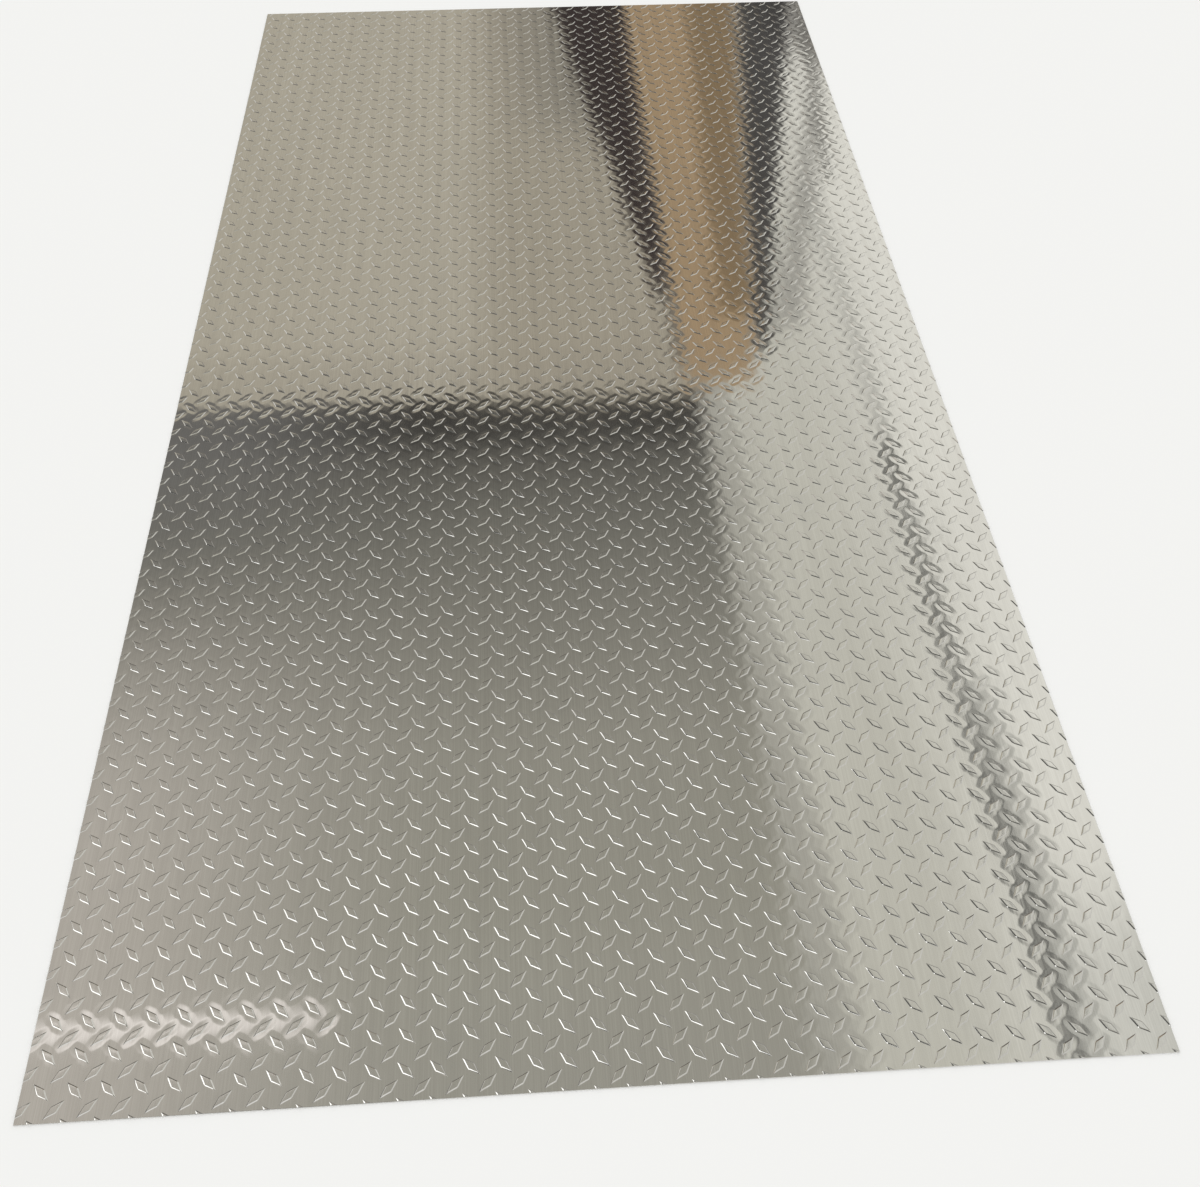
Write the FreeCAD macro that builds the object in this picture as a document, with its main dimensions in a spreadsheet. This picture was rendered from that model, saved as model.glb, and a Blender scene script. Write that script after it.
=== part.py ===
"""Aluminium checker plate: one flat rolled sheet, 4 ft wide and 8 ft long, of 0.063 in stock.

Frame: millimetres, +Z up. The origin is the centre of the underside. X runs across the sheet's
width and Y along its length, which is the direction it was rolled in. The raised lugs of the
tread pattern are fine relief on the upper face and are not part of this solid: it is the flat
stock between them, at its nominal thickness.
"""
import FreeCAD, Part
import os
import Sketcher

# Alias in the spreadsheet, value in millimetres, what it is.
DRIVING_SIZES = (
    ("sheet_width", 1219.2, "across the sheet, along X: 4 ft"),
    ("sheet_length", 2438.4, "along the rolling direction, along Y: 8 ft"),
    ("sheet_thickness", 1.6, "between the lugs, along Z: 0.063 in"),
    ("shear_rollover", 0.3, "radius that the guillotine leaves round the upper face"),
)
SIZES = {alias: value for alias, value, meaning in DRIVING_SIZES}


def make_size_sheet(doc):
    """The spreadsheet that drives the model: one row a size, with its alias and its meaning."""
    sheet = doc.addObject("Spreadsheet::Sheet", "Sizes")
    for row, (alias, value, meaning) in enumerate(DRIVING_SIZES, start=1):
        sheet.set(f"A{row}", alias)
        sheet.set(f"B{row}", str(value))
        sheet.set(f"C{row}", meaning)
        sheet.setAlias(f"B{row}", alias)
    doc.recompute()


def draw_blank_outline(sketch):
    """The sheet as the guillotine cuts it: a rectangle centred on the origin, its sides bound."""
    half_width = SIZES["sheet_width"] / 2
    half_length = SIZES["sheet_length"] / 2
    corners = [
        FreeCAD.Vector(-half_width, -half_length, 0),
        FreeCAD.Vector(half_width, -half_length, 0),
        FreeCAD.Vector(half_width, half_length, 0),
        FreeCAD.Vector(-half_width, half_length, 0),
    ]
    near_side, right_side, far_side, left_side = range(4)
    start_point, end_point = 1, 2
    for side in range(4):
        sketch.addGeometry(Part.LineSegment(corners[side], corners[(side + 1) % 4]), False)
    for side in range(4):
        following = (side + 1) % 4
        sketch.addConstraint(
            Sketcher.Constraint("Coincident", side, end_point, following, start_point)
        )
    sketch.addConstraint(Sketcher.Constraint("Horizontal", near_side))
    sketch.addConstraint(Sketcher.Constraint("Horizontal", far_side))
    sketch.addConstraint(Sketcher.Constraint("Vertical", right_side))
    sketch.addConstraint(Sketcher.Constraint("Vertical", left_side))
    origin_element, origin_point = -1, 1
    sketch.addConstraint(
        Sketcher.Constraint(
            "Symmetric", near_side, start_point, far_side, start_point, origin_element, origin_point
        )
    )
    width = Sketcher.Constraint(
        "DistanceX", near_side, start_point, near_side, end_point, SIZES["sheet_width"]
    )
    length = Sketcher.Constraint(
        "DistanceY", right_side, start_point, right_side, end_point, SIZES["sheet_length"]
    )
    for name, constraint in (("Width", width), ("Length", length)):
        index = sketch.addConstraint(constraint)
        sketch.renameConstraint(index, name)
        sketch.setExpression(f"Constraints.{name}", f"Sizes.sheet_{name.lower()}")


def edges_round_upper_face(shape):
    """Names of the four edges where the upper face meets the sheared sides."""
    top = shape.BoundBox.ZMax
    names = []
    for number, edge in enumerate(shape.Edges, start=1):
        box = edge.BoundBox
        if abs(box.ZMin - top) < 1e-6 and abs(box.ZMax - top) < 1e-6:
            names.append(f"Edge{number}")
    return names


def make_checker_plate(doc):
    """The rolled sheet: a blank padded to its thickness, its upper rim rolled over by the shear."""
    body = doc.addObject("PartDesign::Body", "CheckerPlate")
    body.Label = "checker_plate"
    outline = body.newObject("Sketcher::SketchObject", "BlankOutline")
    ground = next(plane for plane in body.Origin.OriginFeatures if plane.Role == "XY_Plane")
    outline.AttachmentSupport = (ground, [""])
    outline.MapMode = "FlatFace"
    draw_blank_outline(outline)

    blank = body.newObject("PartDesign::Pad", "RolledBlank")
    blank.Profile = outline
    blank.setExpression("Length", "Sizes.sheet_thickness")
    doc.recompute()

    rim = body.newObject("PartDesign::Fillet", "ShearedRim")
    rim.Base = (blank, edges_round_upper_face(blank.Shape))
    rim.setExpression("Radius", "Sizes.shear_rollover")
    doc.recompute()
    body.Tip = rim
    body.Placement = FreeCAD.Placement()
    return body


def refuse_faults(doc, sub_parts):
    """Stops before anything is written if an object failed or a shape is not a sound solid."""
    for item in doc.Objects:
        if "Invalid" in item.State or "Error" in item.State:
            raise RuntimeError(f"{item.Name} did not recompute: {item.State}")
    for sub_part in sub_parts:
        shape = sub_part.Shape
        if shape.isNull() or not shape.isValid() or len(shape.Solids) != 1:
            raise RuntimeError(f"{sub_part.Label} is not one valid solid")


def main():
    doc = FreeCAD.newDocument("checker_plate_model")
    make_size_sheet(doc)
    sub_parts = [make_checker_plate(doc)]
    doc.recompute()
    refuse_faults(doc, sub_parts)
    os.makedirs("parts", exist_ok=True)
    for sub_part in sub_parts:
        sub_part.Shape.exportStep(f"parts/{sub_part.Label}.step")
        box = sub_part.Shape.BoundBox
        print(
            f"{sub_part.Label}: {box.XLength:.2f} x {box.YLength:.2f} x {box.ZLength:.2f} mm, "
            f"{sub_part.Shape.Volume / 1e6:.4f} litres"
        )


main()
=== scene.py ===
"""Studio scene for an aluminium checker plate: one flat 4 ft x 8 ft sheet with rolled tread lugs.

Metres, +Z up, the sheet lying on z = 0 with its length along Y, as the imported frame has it.
"""
import math

import bmesh
import bpy
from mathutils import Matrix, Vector


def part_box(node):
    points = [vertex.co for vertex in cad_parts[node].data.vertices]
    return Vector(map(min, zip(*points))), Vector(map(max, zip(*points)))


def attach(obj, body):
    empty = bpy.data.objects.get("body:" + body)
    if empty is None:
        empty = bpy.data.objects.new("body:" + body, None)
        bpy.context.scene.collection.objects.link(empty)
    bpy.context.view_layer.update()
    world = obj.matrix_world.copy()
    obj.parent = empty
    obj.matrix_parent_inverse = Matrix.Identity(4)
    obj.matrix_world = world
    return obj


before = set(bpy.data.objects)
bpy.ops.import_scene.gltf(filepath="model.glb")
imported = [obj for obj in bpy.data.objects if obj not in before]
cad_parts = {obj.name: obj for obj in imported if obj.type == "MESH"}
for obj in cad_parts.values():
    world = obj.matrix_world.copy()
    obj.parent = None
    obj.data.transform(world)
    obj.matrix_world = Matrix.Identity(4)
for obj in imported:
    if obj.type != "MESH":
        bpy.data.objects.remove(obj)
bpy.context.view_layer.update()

# ---------------------------------------------------------------- Rolled sheet
# One 4 ft x 8 ft sheet of bare bright-rolled aluminium, sheared to size. The polished work rolls leave
# hairlines along its length, with a faint cloudiness and a few handling smudges. The metal that is
# drawn up into each tread lug leaves a very shallow hollow in the sheet round its foot.
def add_node(tree, kind, **settings):
    node = tree.nodes.new(kind)
    for name, value in settings.items():
        setattr(node, name, value)
    return node


def math_node(tree, operation, *inputs):
    """One Math node: each input is a number or the output socket that feeds it."""
    node = add_node(tree, "ShaderNodeMath", operation=operation)
    for socket, value in zip(node.inputs, inputs):
        if isinstance(value, (int, float)):
            socket.default_value = value
        else:
            tree.links.new(value, socket)
    return node.outputs[0]


def remap(tree, value, low, high, to_low=0.0, to_high=1.0, smooth=True):
    node = add_node(tree, "ShaderNodeMapRange", clamp=True)
    node.interpolation_type = "SMOOTHSTEP" if smooth else "LINEAR"
    tree.links.new(value, node.inputs["Value"])
    node.inputs["From Min"].default_value = low
    node.inputs["From Max"].default_value = high
    node.inputs["To Min"].default_value = to_low
    node.inputs["To Max"].default_value = to_high
    return node.outputs["Result"]


def stretched_noise(tree, coordinates, scale_xyz, detail, roughness=0.5):
    mapping = add_node(tree, "ShaderNodeMapping", vector_type="POINT")
    mapping.inputs["Scale"].default_value = scale_xyz
    tree.links.new(coordinates, mapping.inputs["Vector"])
    noise = add_node(tree, "ShaderNodeTexNoise", noise_dimensions="3D")
    noise.inputs["Scale"].default_value = 1.0
    noise.inputs["Detail"].default_value = detail
    noise.inputs["Roughness"].default_value = roughness
    tree.links.new(mapping.outputs["Vector"], noise.inputs["Vector"])
    return noise.outputs["Fac"]


def mix_colour(tree, factor, first, second):
    node = add_node(tree, "ShaderNodeMix", data_type="RGBA")
    for socket, value in ((node.inputs[0], factor), (node.inputs[6], first), (node.inputs[7], second)):
        if isinstance(value, (int, float)):
            socket.default_value = value
        elif isinstance(value, tuple):
            socket.default_value = (*value, 1.0)
        else:
            tree.links.new(value, socket)
    return node.outputs[2]


# How finely each mark varies along X, Y and Z, and where its mask starts and is full.
HAIRLINE_FINENESS = (520.0, 5.0, 5.0)
HAIRLINE_MASK = (0.35, 0.70)
STREAK_FINENESS = (70.0, 1.6, 1.0)
STREAK_MASK = (0.40, 0.68)
CLOUD_FINENESS = (3.2, 2.0, 1.0)
CLOUD_MASK = (0.38, 0.66)
SMUDGE_FINENESS = (11.0, 9.0, 1.0)
SMUDGE_MASK = (0.56, 0.72)
METAL_IN_HAIRLINES = (0.80, 0.79, 0.775)
METAL_BETWEEN_HAIRLINES = (0.88, 0.875, 0.86)
STREAK_COLOUR = (0.74, 0.73, 0.715)
CLOUD_COLOUR = (0.79, 0.785, 0.775)
SMUDGE_COLOUR = (0.70, 0.70, 0.70)
STREAK_TINT = 0.45
CLOUD_TINT = 0.30
SMUDGE_TINT = 0.25
STREAK_HAZE = 0.45
CLOUD_HAZE = 0.35
SMUDGE_HAZE = 0.30
HAIRLINE_HEIGHT = 0.0000012
STREAK_HEIGHT = 0.000012


def make_rolled_finish():
    """Group: rolled_finish. Colour, roughness and hairline height from the object's own place."""
    group = bpy.data.node_groups.new("rolled_finish", "ShaderNodeTree")
    face = group.interface
    face.new_socket("Polish", in_out="INPUT", socket_type="NodeSocketFloat").default_value = 0.1
    face.new_socket("Haze", in_out="INPUT", socket_type="NodeSocketFloat").default_value = 0.1
    face.new_socket("Colour", in_out="OUTPUT", socket_type="NodeSocketColor")
    face.new_socket("Roughness", in_out="OUTPUT", socket_type="NodeSocketFloat")
    face.new_socket("Height", in_out="OUTPUT", socket_type="NodeSocketFloat")
    inputs = group.nodes.new("NodeGroupInput")
    outputs = group.nodes.new("NodeGroupOutput")
    place = add_node(group, "ShaderNodeTexCoord").outputs["Object"]

    hairlines = stretched_noise(group, place, HAIRLINE_FINENESS, 3.0, 0.6)
    streaks = stretched_noise(group, place, STREAK_FINENESS, 3.0, 0.55)
    clouds = stretched_noise(group, place, CLOUD_FINENESS, 5.0, 0.6)
    smudges = stretched_noise(group, place, SMUDGE_FINENESS, 4.0, 0.65)

    streak_mask = remap(group, streaks, *STREAK_MASK)
    cloud_mask = remap(group, clouds, *CLOUD_MASK)
    smudge_mask = remap(group, smudges, *SMUDGE_MASK)
    hairline_mask = remap(group, hairlines, *HAIRLINE_MASK)

    clean = mix_colour(group, hairline_mask, METAL_IN_HAIRLINES, METAL_BETWEEN_HAIRLINES)
    streak_tint = math_node(group, "MULTIPLY", streak_mask, STREAK_TINT)
    streaked = mix_colour(group, streak_tint, clean, STREAK_COLOUR)
    cloud_tint = math_node(group, "MULTIPLY", cloud_mask, CLOUD_TINT)
    clouded = mix_colour(group, cloud_tint, streaked, CLOUD_COLOUR)
    smudge_tint = math_node(group, "MULTIPLY", smudge_mask, SMUDGE_TINT)
    smudged = mix_colour(group, smudge_tint, clouded, SMUDGE_COLOUR)
    group.links.new(smudged, outputs.inputs["Colour"])

    streak_part = math_node(group, "MULTIPLY", streak_mask, STREAK_HAZE)
    cloud_part = math_node(group, "MULTIPLY", cloud_mask, CLOUD_HAZE)
    smudge_part = math_node(group, "MULTIPLY", smudge_mask, SMUDGE_HAZE)
    haze = math_node(group, "ADD", math_node(group, "ADD", streak_part, cloud_part), smudge_part)
    added = math_node(group, "MULTIPLY", haze, inputs.outputs["Haze"])
    group.links.new(math_node(group, "ADD", inputs.outputs["Polish"], added), outputs.inputs["Roughness"])

    fine = math_node(group, "MULTIPLY", hairlines, HAIRLINE_HEIGHT)
    broad = math_node(group, "MULTIPLY", streaks, STREAK_HEIGHT)
    group.links.new(math_node(group, "ADD", fine, broad), outputs.inputs["Height"])
    return group


rolled_finish = make_rolled_finish()

PITCH_ACROSS = 0.0343
PITCH_ALONG = 0.0366
LEFT_LEAN = math.radians(-45.0)
RIGHT_LEAN = math.radians(45.0)
# Centre of the first lug of each lean, counted from the sheet's near left corner.
FIRST_LEFT_LEANER = (0.0208, 0.0316)
FIRST_RIGHT_LEANER = (FIRST_LEFT_LEANER[0] - PITCH_ACROSS / 2, FIRST_LEFT_LEANER[1] - PITCH_ALONG / 2)
HOLLOW_HALF_LENGTH = 0.0215
HOLLOW_HALF_WIDTH = 0.0095
HOLLOW_DEPTH = 0.00005
BROAD_WAVE = 0.0003
BROAD_WAVE_FINENESS = (3.0, 2.0, 1.0)

sheet_low, sheet_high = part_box("checker_plate")
sheet_corner = (float(sheet_low[0]), float(sheet_low[1]))
sheet_top = float(sheet_high[2])


def lug_hollow(tree, x, y, first, lean):
    """1 at the middle of each lug of one lean, falling to 0 at the rim of its hollow."""
    local_x = math_node(tree, "WRAP", math_node(tree, "SUBTRACT", x, sheet_corner[0] + first[0]),
                        PITCH_ACROSS / 2, -PITCH_ACROSS / 2)
    local_y = math_node(tree, "WRAP", math_node(tree, "SUBTRACT", y, sheet_corner[1] + first[1]),
                        PITCH_ALONG / 2, -PITCH_ALONG / 2)
    cosine, sine = math.cos(lean), math.sin(lean)
    along = math_node(tree, "ADD", math_node(tree, "MULTIPLY", local_x, cosine / HOLLOW_HALF_LENGTH),
                      math_node(tree, "MULTIPLY", local_y, sine / HOLLOW_HALF_LENGTH))
    across = math_node(tree, "ADD", math_node(tree, "MULTIPLY", local_x, -sine / HOLLOW_HALF_WIDTH),
                       math_node(tree, "MULTIPLY", local_y, cosine / HOLLOW_HALF_WIDTH))
    squared = math_node(tree, "ADD", math_node(tree, "MULTIPLY", along, along),
                        math_node(tree, "MULTIPLY", across, across))
    inside = math_node(tree, "MAXIMUM", math_node(tree, "SUBTRACT", 1.0, squared), 0.0)
    return math_node(tree, "MULTIPLY", inside, inside)


def make_hollowed_surface():
    """Group: hollowed_surface. Height of the sheet's face: hollows round the lugs and slow waves."""
    group = bpy.data.node_groups.new("hollowed_surface", "ShaderNodeTree")
    group.interface.new_socket("Height", in_out="OUTPUT", socket_type="NodeSocketFloat")
    outputs = group.nodes.new("NodeGroupOutput")
    place = add_node(group, "ShaderNodeTexCoord").outputs["Object"]
    split = add_node(group, "ShaderNodeSeparateXYZ")
    group.links.new(place, split.inputs[0])
    left = lug_hollow(group, split.outputs["X"], split.outputs["Y"], FIRST_LEFT_LEANER, LEFT_LEAN)
    right = lug_hollow(group, split.outputs["X"], split.outputs["Y"], FIRST_RIGHT_LEANER, RIGHT_LEAN)
    hollows = math_node(group, "MULTIPLY", math_node(group, "ADD", left, right), -HOLLOW_DEPTH)
    swell = stretched_noise(group, place, BROAD_WAVE_FINENESS, 1.0)
    waves = math_node(group, "MULTIPLY", swell, BROAD_WAVE)
    group.links.new(math_node(group, "ADD", hollows, waves), outputs.inputs["Height"])
    return group


def make_bright_aluminium(name, polish, haze, hollowed):
    """Bare metal with the rolled finish; the sheet's own face has the hollows as well."""
    material = bpy.data.materials.new(name)
    material.use_nodes = True
    tree = material.node_tree
    principled = tree.nodes["Principled BSDF"]
    principled.inputs["Metallic"].default_value = 1.0
    finish = add_node(tree, "ShaderNodeGroup", node_tree=rolled_finish)
    finish.inputs["Polish"].default_value = polish
    finish.inputs["Haze"].default_value = haze
    tree.links.new(finish.outputs["Colour"], principled.inputs["Base Color"])
    tree.links.new(finish.outputs["Roughness"], principled.inputs["Roughness"])
    height = finish.outputs["Height"]
    if hollowed:
        surface = add_node(tree, "ShaderNodeGroup", node_tree=make_hollowed_surface())
        height = math_node(tree, "ADD", height, surface.outputs["Height"])
    bump = add_node(tree, "ShaderNodeBump")
    bump.inputs["Distance"].default_value = 1.0
    tree.links.new(height, bump.inputs["Height"])
    tree.links.new(bump.outputs["Normal"], principled.inputs["Normal"])
    return material


bright_sheet = make_bright_aluminium("bright_rolled_sheet", polish=0.030, haze=0.05, hollowed=True)
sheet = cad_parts["checker_plate"]
for slot in sheet.material_slots:
    slot.material = bright_sheet


# ---------------------------------------------------------------- Tread lugs
# The lugs are rolled up out of the sheet by a pocketed roll: low pointed bars at 45 degrees to the
# edges, in rows that lean one way and then the other, each pointing at the flank of the next. They
# are the sheet's own metal, and the shear cuts through those that cross an edge.
LUG_SINK = 0.00005
# Half length, half width and height of each ring of a lug, from its foot to the rim of its crown.
LUG_RINGS = (
    (0.0142, 0.0047, -LUG_SINK),
    (0.0115, 0.0038, 0.00060),
    (0.0100, 0.0033, 0.00078),
)
LUG_CREST_HALF = 0.0065
LUG_CREST_HEIGHT = 0.00083
LUG_HEIGHT_SPREAD = 0.06
LUG_SEED = 7
# Each lean's field is made in this many lengths, so that none is too heavy a mesh.
LUG_SECTIONS = 2
# The lugs stop short of the sheet's outline by its shear roll-over.
ROLL_OVER = 0.0003
# A quarter of a lug's outline, as shares of its half length and half width: the rounded tip, the
# straight side's two ends, and the rounded corner at mid length, where the next quarter starts.
TIP_POINT = (0.965, 0.0)
SIDE_BY_TIP = (0.92, 0.08)
SIDE_BY_CORNER = (0.07, 0.93)
CORNER_POINT = (0.0, 0.965)
POINTS_A_QUARTER = 3


def lug_ring(half_length, half_width, height):
    """Points round a kinked bar, from its tip on +X anticlockwise."""
    from_tip = (TIP_POINT, SIDE_BY_TIP, SIDE_BY_CORNER)
    from_corner = (CORNER_POINT, SIDE_BY_CORNER, SIDE_BY_TIP)
    points = []
    for side_x, side_y, outline in (
        (1, 1, from_tip),
        (-1, 1, from_corner),
        (-1, -1, from_tip),
        (1, -1, from_corner),
    ):
        for along, across in outline:
            points.append(Vector((side_x * along * half_length, side_y * across * half_width, height)))
    return points


def make_lug_mesh():
    """One lug along X: a flat foot, steep flanks and an almost flat crown that rises to its crest."""
    build = bmesh.new()
    rings = [[build.verts.new(point) for point in lug_ring(*ring)] for ring in LUG_RINGS]
    count = len(rings[0])
    build.faces.new(list(reversed(rings[0])))
    for lower, upper in zip(rings, rings[1:]):
        for index in range(count):
            after = (index + 1) % count
            build.faces.new((lower[index], lower[after], upper[after], upper[index])).smooth = True
    crest_places = [(side * LUG_CREST_HALF, 0.0, LUG_CREST_HEIGHT) for side in (1, 0, -1)]
    right, middle, left = (build.verts.new(place) for place in crest_places)
    rim = rings[-1]
    for quarter, crest_end in enumerate((right, left, left, right)):
        for step in range(POINTS_A_QUARTER):
            index = quarter * POINTS_A_QUARTER + step
            build.faces.new((rim[index], rim[(index + 1) % count], crest_end)).smooth = True
    upper_corner = rim[POINTS_A_QUARTER]
    lower_corner = rim[3 * POINTS_A_QUARTER]
    for corners in (
        (upper_corner, left, middle),
        (upper_corner, middle, right),
        (lower_corner, right, middle),
        (lower_corner, middle, left),
    ):
        build.faces.new(corners).smooth = True

    # The foot, the crown's rim and the ends of the straight sides stay crisp. The rest is round.
    crisp = set()
    for ring in (rings[0], rings[-1]):
        crisp.update(frozenset((ring[index], ring[(index + 1) % count])) for index in range(count))
    for lower, upper in zip(rings, rings[1:]):
        for index in range(count):
            if index % POINTS_A_QUARTER:
                crisp.add(frozenset((lower[index], upper[index])))
    for edge in build.edges:
        edge.smooth = frozenset(edge.verts) not in crisp
    bmesh.ops.recalc_face_normals(build, faces=build.faces)
    mesh = bpy.data.meshes.new("lug")
    build.to_mesh(mesh)
    build.free()
    return mesh


def make_lug_field_tree():
    """Geometry Nodes: copies the object's own lug over a grid of places, all leaning one way."""
    tree = bpy.data.node_groups.new("tread_lug_field", "GeometryNodeTree")
    face = tree.interface
    face.new_socket("Geometry", in_out="OUTPUT", socket_type="NodeSocketGeometry")
    for name, kind in (
        ("Lug", "NodeSocketGeometry"),
        ("Columns", "NodeSocketInt"),
        ("Rows", "NodeSocketInt"),
        ("Pitch Across", "NodeSocketFloat"),
        ("Pitch Along", "NodeSocketFloat"),
        ("First Place", "NodeSocketVector"),
        ("Lean", "NodeSocketFloat"),
        ("Height Spread", "NodeSocketFloat"),
        ("Seed", "NodeSocketInt"),
        ("Finish", "NodeSocketMaterial"),
    ):
        face.new_socket(name, in_out="INPUT", socket_type=kind)
    given = tree.nodes.new("NodeGroupInput").outputs
    result = tree.nodes.new("NodeGroupOutput")

    gaps_across = math_node(tree, "SUBTRACT", given["Columns"], 1.0)
    width = math_node(tree, "MULTIPLY", gaps_across, given["Pitch Across"])
    gaps_along = math_node(tree, "SUBTRACT", given["Rows"], 1.0)
    length = math_node(tree, "MULTIPLY", gaps_along, given["Pitch Along"])
    grid = add_node(tree, "GeometryNodeMeshGrid")
    tree.links.new(width, grid.inputs["Size X"])
    tree.links.new(length, grid.inputs["Size Y"])
    tree.links.new(given["Columns"], grid.inputs["Vertices X"])
    tree.links.new(given["Rows"], grid.inputs["Vertices Y"])

    half_size = add_node(tree, "ShaderNodeCombineXYZ")
    tree.links.new(math_node(tree, "MULTIPLY", width, 0.5), half_size.inputs["X"])
    tree.links.new(math_node(tree, "MULTIPLY", length, 0.5), half_size.inputs["Y"])
    offset = add_node(tree, "ShaderNodeVectorMath", operation="ADD")
    tree.links.new(given["First Place"], offset.inputs[0])
    tree.links.new(half_size.outputs[0], offset.inputs[1])
    placed = add_node(tree, "GeometryNodeSetPosition")
    tree.links.new(grid.outputs["Mesh"], placed.inputs["Geometry"])
    tree.links.new(offset.outputs[0], placed.inputs["Offset"])

    height = add_node(tree, "FunctionNodeRandomValue", data_type="FLOAT")
    tree.links.new(math_node(tree, "SUBTRACT", 1.0, given["Height Spread"]), height.inputs[2])
    tree.links.new(math_node(tree, "ADD", 1.0, given["Height Spread"]), height.inputs[3])
    tree.links.new(given["Seed"], height.inputs["Seed"])
    scale = add_node(tree, "ShaderNodeCombineXYZ")
    scale.inputs["X"].default_value = 1.0
    scale.inputs["Y"].default_value = 1.0
    tree.links.new(height.outputs[1], scale.inputs["Z"])
    turn = add_node(tree, "ShaderNodeCombineXYZ")
    tree.links.new(given["Lean"], turn.inputs["Z"])

    copies = add_node(tree, "GeometryNodeInstanceOnPoints")
    tree.links.new(placed.outputs[0], copies.inputs["Points"])
    tree.links.new(given["Lug"], copies.inputs["Instance"])
    tree.links.new(turn.outputs[0], copies.inputs["Rotation"])
    tree.links.new(scale.outputs[0], copies.inputs["Scale"])
    realized = add_node(tree, "GeometryNodeRealizeInstances")
    finished = add_node(tree, "GeometryNodeSetMaterial")
    tree.links.new(copies.outputs[0], realized.inputs[0])
    tree.links.new(realized.outputs[0], finished.inputs["Geometry"])
    tree.links.new(given["Finish"], finished.inputs["Material"])
    tree.links.new(finished.outputs[0], result.inputs[0])
    return tree


def shear_through(mesh, low, high):
    """Cuts the lugs off at the sheet's edges and closes each cut, as the shear leaves them."""
    build = bmesh.new()
    build.from_mesh(mesh)
    for axis in range(2):
        for side, limit in ((-1.0, low[axis]), (1.0, high[axis])):
            place = Vector((0.0, 0.0, 0.0))
            outward = Vector((0.0, 0.0, 0.0))
            place[axis] = limit
            outward[axis] = side
            everything = build.verts[:] + build.edges[:] + build.faces[:]
            bmesh.ops.bisect_plane(
                build, geom=everything, plane_co=place, plane_no=outward, clear_outer=True
            )
            cut_edges = [edge for edge in build.edges if edge.is_boundary]
            bmesh.ops.holes_fill(build, edges=cut_edges, sides=0)
            for edge in cut_edges:
                edge.smooth = False
    build.to_mesh(mesh)
    build.free()


field_low = (float(sheet_low[0]) + ROLL_OVER, float(sheet_low[1]) + ROLL_OVER)
field_high = (float(sheet_high[0]) - ROLL_OVER, float(sheet_high[1]) - ROLL_OVER)
bright_lugs = make_bright_aluminium("bright_rolled_lugs", polish=0.07, haze=0.07, hollowed=False)
lug_mesh = make_lug_mesh()
lug_field_tree = make_lug_field_tree()
socket_of = {}
for item in lug_field_tree.interface.items_tree:
    if item.in_out == "INPUT":
        socket_of[item.name] = item.identifier
columns = int((field_high[0] - field_low[0]) / PITCH_ACROSS) + 2
rows = int((field_high[1] - field_low[1]) / PITCH_ALONG) + 3
rows_a_section = -(-rows // LUG_SECTIONS)

for lean_name, lean, first in (
    ("left_leaning", LEFT_LEAN, FIRST_LEFT_LEANER),
    ("right_leaning", RIGHT_LEAN, FIRST_RIGHT_LEANER),
):
    for section in range(LUG_SECTIONS):
        lugs = bpy.data.objects.new(f"tread_lugs_{lean_name}_{section + 1}", lug_mesh.copy())
        bpy.context.scene.collection.objects.link(lugs)
        field = lugs.modifiers.new("lug_field", "NODES")
        field.node_group = lug_field_tree
        first_row = section * rows_a_section - 1
        first_x = sheet_corner[0] + first[0]
        first_y = sheet_corner[1] + first[1] + first_row * PITCH_ALONG
        for name, value in (
            ("Columns", columns),
            ("Rows", min(rows_a_section, rows - section * rows_a_section)),
            ("Pitch Across", PITCH_ACROSS),
            ("Pitch Along", PITCH_ALONG),
            ("First Place", (first_x, first_y, sheet_top)),
            ("Lean", lean),
            ("Height Spread", LUG_HEIGHT_SPREAD),
            ("Seed", LUG_SEED + section),
            ("Finish", bright_lugs),
        ):
            field[socket_of[name]] = value
        evaluated = lugs.evaluated_get(bpy.context.evaluated_depsgraph_get())
        whole_field = bpy.data.meshes.new_from_object(evaluated)
        lugs.modifiers.remove(field)
        shear_through(whole_field, field_low, field_high)
        lugs.data = whole_field
        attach(lugs, "root")


# ---------------------------------------------------------------- Studio
# A pale floor under a light dome. Everything matt is lit evenly. The metal mirrors toned panels and
# dark flags in the dome, some broad and soft, others narrow and almost crisp.
FLOOR_HALF = 30.0
FLOOR_COLOUR = (0.90, 0.90, 0.89, 1.0)
FLOOR_ROUGHNESS = 0.9
floor_mesh = bpy.data.meshes.new("floor")
floor_mesh.from_pydata(
    [
        (-FLOOR_HALF, -FLOOR_HALF, 0.0),
        (FLOOR_HALF, -FLOOR_HALF, 0.0),
        (FLOOR_HALF, FLOOR_HALF, 0.0),
        (-FLOOR_HALF, FLOOR_HALF, 0.0),
    ],
    [],
    [(0, 1, 2, 3)],
)
floor = bpy.data.objects.new("floor", floor_mesh)
bpy.context.scene.collection.objects.link(floor)
pale_floor = bpy.data.materials.new("pale_floor")
pale_floor.use_nodes = True
floor_sockets = pale_floor.node_tree.nodes["Principled BSDF"].inputs
floor_sockets["Base Color"].default_value = FLOOR_COLOUR
floor_sockets["Roughness"].default_value = FLOOR_ROUGHNESS
floor_sockets["Specular IOR Level"].default_value = 0.0
floor_mesh.materials.append(pale_floor)

EVEN_LIGHT = (1.0, 1.0, 0.99)
BACKDROP = (0.895, 0.895, 0.880)
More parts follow.
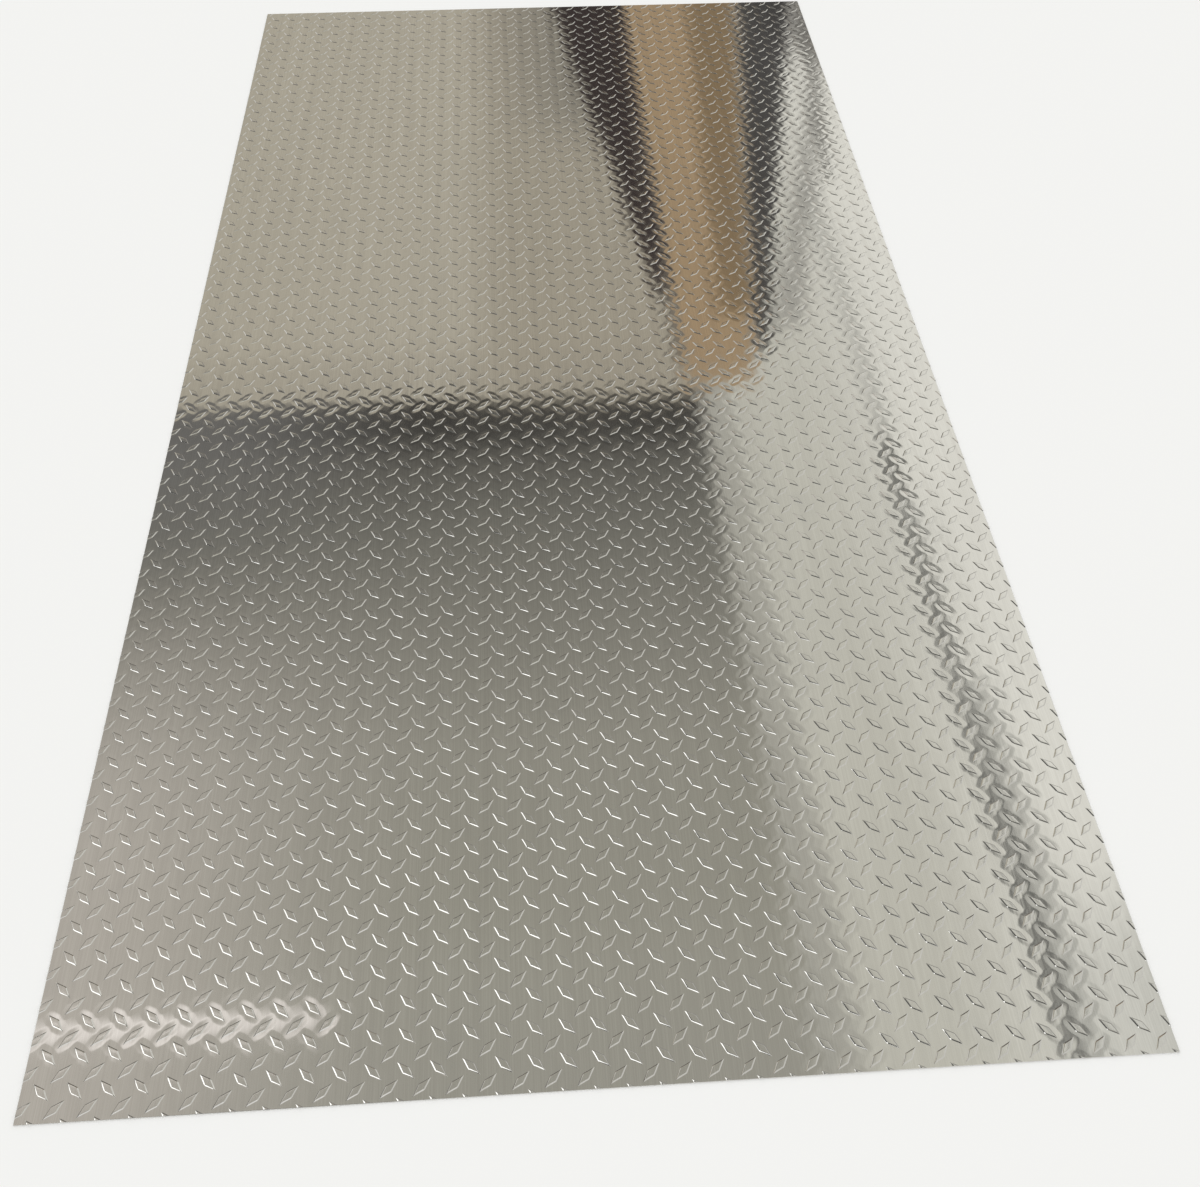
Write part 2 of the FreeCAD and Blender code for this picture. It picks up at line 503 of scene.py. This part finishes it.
# Directions in the dome are slopes, across or along the sheet, per unit of rise. The dome's colour at
# slopes along the sheet, on the side away from the camera:
LOWEST_RISE = 0.05
NEAR_DOME_END = 1.2
NEAR_DOME_STOPS = (
    (0.20, (0.36, 0.35, 0.31)),
    (0.42, (0.36, 0.35, 0.30)),
    (0.49, (0.34, 0.33, 0.28)),
    (0.645, (0.32, 0.31, 0.265)),
    (0.80, (0.246, 0.238, 0.205)),
    (0.95, (0.175, 0.17, 0.148)),
    (1.04, (0.125, 0.12, 0.105)),
    (1.10, (0.064, 0.061, 0.055)),
    (1.16, (0.050, 0.047, 0.043)),
)
PANEL_LEAN_FROM = 1.2
# Tone, strength, left edge, right edge, near edge, far edge and softness, in order of hanging.
DOME_PANELS = (
    ((0.64, 0.59, 0.54), 0.60, None, (-0.28, 0.0), None, 0.75, 0.22),
    ((0.20, 0.195, 0.185), 0.70, None, (-0.25, 0.0), 0.95, None, 0.15),
    ((0.43, 0.42, 0.37), 1.00, (0.203, 0.0), None, None, None, 0.010),
    ((0.59, 0.58, 0.51), 1.00, (0.242, 0.0), None, None, None, 0.018),
    ((0.82, 0.81, 0.745), 1.00, (0.40, 0.0), None, None, None, 0.10),
    ((0.60, 0.60, 0.55), 0.80, (0.44, 0.0), None, None, 0.46, 0.07),
    ((0.47, 0.435, 0.355), 1.00, None, (0.20, 0.0), 1.155, None, 0.004),
    ((0.36, 0.33, 0.27), 0.35, None, (0.20, 0.0), 1.155, 1.24, 0.030),
    ((0.38, 0.345, 0.275), 0.85, (-0.06, 0.0), (0.20, 0.0), 1.16, None, 0.05),
    ((0.24, 0.225, 0.19), 0.80, (0.07, -0.08), (0.20, 0.0), 1.75, 3.2, 0.10),
    ((0.34, 0.33, 0.30), 0.85, (0.30, 0.24), (0.335, 0.22), 1.27, 3.2, 0.015),
    ((0.13, 0.12, 0.11), 0.75, (0.435, 0.0), None, 1.98, 3.2, 0.05),
    ((0.045, 0.042, 0.042), 0.95, (0.279, 0.11), (0.296, 0.19), 1.22, 3.2, 0.009),
    ((0.39, 0.285, 0.175), 1.00, (0.191, 0.0), (0.279, 0.106), 1.165, 3.2, 0.007),
    ((0.235, 0.17, 0.10), 0.90, (0.240, 0.060), (0.279, 0.106), 1.30, 3.2, 0.014),
    ((0.048, 0.038, 0.036), 1.00, (0.188, -0.128), (0.190, 0.0), 1.34, 3.2, 0.010),
    ((0.10, 0.09, 0.08), 0.85, (0.178, 0.0), (0.190, 0.0), 1.20, 1.80, 0.006),
    ((0.10, 0.095, 0.085), 0.90, (0.398, 0.10), (0.410, 0.10), 1.60, 3.2, 0.006),
    ((0.10, 0.10, 0.092), 0.95, (0.405, 0.0), (0.418, 0.0), None, 1.05, 0.004),
    ((0.16, 0.16, 0.15), 0.75, (0.410, 0.0), (0.419, 0.0), 1.05, 1.60, 0.008),
    ((0.34, 0.34, 0.31), 0.60, (0.418, 0.0), (0.438, 0.0), None, 0.70, 0.007),
    ((0.92, 0.87, 0.82), 0.90, None, (-0.19, 0.0), 0.390, 0.406, 0.005),
    ((0.30, 0.29, 0.27), 1.00, None, None, 3.2, None, 0.5),
    ((0.12, 0.11, 0.10), 1.00, None, (0.5, 0.0), 3.2, None, 0.5),
    ((0.10, 0.10, 0.095), 1.00, (-1.15, 0.0), (-0.12, 0.0), -1.40, 0.25, 0.04),
    ((0.80, 0.79, 0.76), 1.00, (0.10, 0.0), (0.62, 0.0), None, -0.50, 0.08),
    ((1.60, 1.60, 1.56), 1.00, (-1.90, 0.0), (-0.42, 0.0), -1.10, -0.40, 0.04),
    ((1.60, 1.60, 1.56), 1.00, (-4.80, 0.0), (-1.15, 0.0), -0.42, 0.25, 0.05),
    ((0.72, 0.71, 0.67), 1.00, (-2.60, 0.0), (-1.00, 0.0), 0.25, 2.0, 0.12),
    ((0.22, 0.22, 0.21), 0.75, None, None, None, -2.4, 0.9),
    ((0.85, 0.84, 0.81), 0.80, (0.8, 0.0), (2.2, 0.0), -2.3, -1.3, 0.25),
    ((0.25, 0.245, 0.235), 0.70, None, (-5.6, 0.0), None, None, 1.2),
    ((0.64, 0.63, 0.59), 1.00, (0.62, 0.0), None, None, 1.6, 0.06),
)


def overhead_panel(tree, across, along, left, right, near, far, soft):
    """Mask of one panel in the dome. Left and right are each (slope across at PANEL_LEAN_FROM, change
    in it per unit of slope along). Near and far are slopes along. None leaves a side open."""
    mask = None
    beyond = math_node(tree, "SUBTRACT", along, PANEL_LEAN_FROM)
    for edge, start, stop in ((left, 0.0, 1.0), (right, 1.0, 0.0)):
        if edge is not None:
            place, lean = edge
            upright = math_node(tree, "SUBTRACT", across, math_node(tree, "MULTIPLY", beyond, lean))
            part = remap(tree, upright, place - soft, place + soft, start, stop)
            mask = part if mask is None else math_node(tree, "MULTIPLY", mask, part)
    for edge, start, stop in ((near, 0.0, 1.0), (far, 1.0, 0.0)):
        if edge is not None:
            part = remap(tree, along, edge - soft, edge + soft, start, stop)
            mask = part if mask is None else math_node(tree, "MULTIPLY", mask, part)
    return mask


def make_light_dome():
    """World: even light, the backdrop that the camera sees, and the panels that gloss sees."""
    world = bpy.data.worlds.new("light_dome")
    world.use_nodes = True
    tree = world.node_tree
    background = tree.nodes["Background"]
    toward = add_node(tree, "ShaderNodeSeparateXYZ")
    tree.links.new(add_node(tree, "ShaderNodeTexCoord").outputs["Generated"], toward.inputs[0])
    rise = math_node(tree, "MAXIMUM", toward.outputs["Z"], LOWEST_RISE)
    across = math_node(tree, "DIVIDE", toward.outputs["X"], rise)
    along = math_node(tree, "DIVIDE", toward.outputs["Y"], rise)

    # The dome darkens away from the camera, up to the foot of the far panels.
    ramp = add_node(tree, "ShaderNodeValToRGB")
    tree.links.new(math_node(tree, "DIVIDE", along, NEAR_DOME_END), ramp.inputs["Fac"])
    stops = ramp.color_ramp.elements
    while len(stops) > 1:
        stops.remove(stops[-1])
    for index, (slope, colour) in enumerate(NEAR_DOME_STOPS):
        stop = stops[0] if index == 0 else stops.new(slope / NEAR_DOME_END)
        stop.position = slope / NEAR_DOME_END
        stop.color = (*colour, 1.0)
    colour = ramp.outputs["Color"]
    for tone, strength, left, right, near, far, soft in DOME_PANELS:
        mask = overhead_panel(tree, across, along, left, right, near, far, soft)
        colour = mix_colour(tree, math_node(tree, "MULTIPLY", mask, strength), colour, tone)

    rays = add_node(tree, "ShaderNodeLightPath")
    even = mix_colour(tree, rays.outputs["Is Camera Ray"], EVEN_LIGHT, BACKDROP)
    seen = mix_colour(tree, rays.outputs["Is Glossy Ray"], even, colour)
    tree.links.new(seen, background.inputs["Color"])
    return world


bpy.context.scene.world = make_light_dome()


# ---------------------------------------------------------------- Camera
# A hand-held view from above the near edge, looking down the sheet's length. The small sideways
# shift sets the lens axis off the middle of the frame.
CAMERA_PLACE = (-0.0467, -1.6529, 1.3234)
CAMERA_TURN_DEG = (39.987, -0.269, -3.621)
SENSOR_WIDTH_MM = 36.0
LENS_MM = 37.21
SIDEWAYS_SHIFT = 0.0032
camera_data = bpy.data.cameras.new("camera")
camera_data.sensor_width = SENSOR_WIDTH_MM
camera_data.lens = LENS_MM
camera_data.shift_x = SIDEWAYS_SHIFT
camera = bpy.data.objects.new("camera", camera_data)
camera.location = CAMERA_PLACE
camera.rotation_euler = [math.radians(angle) for angle in CAMERA_TURN_DEG]
bpy.context.scene.collection.objects.link(camera)
bpy.context.scene.camera = camera
bpy.context.scene.view_settings.view_transform = "Standard"
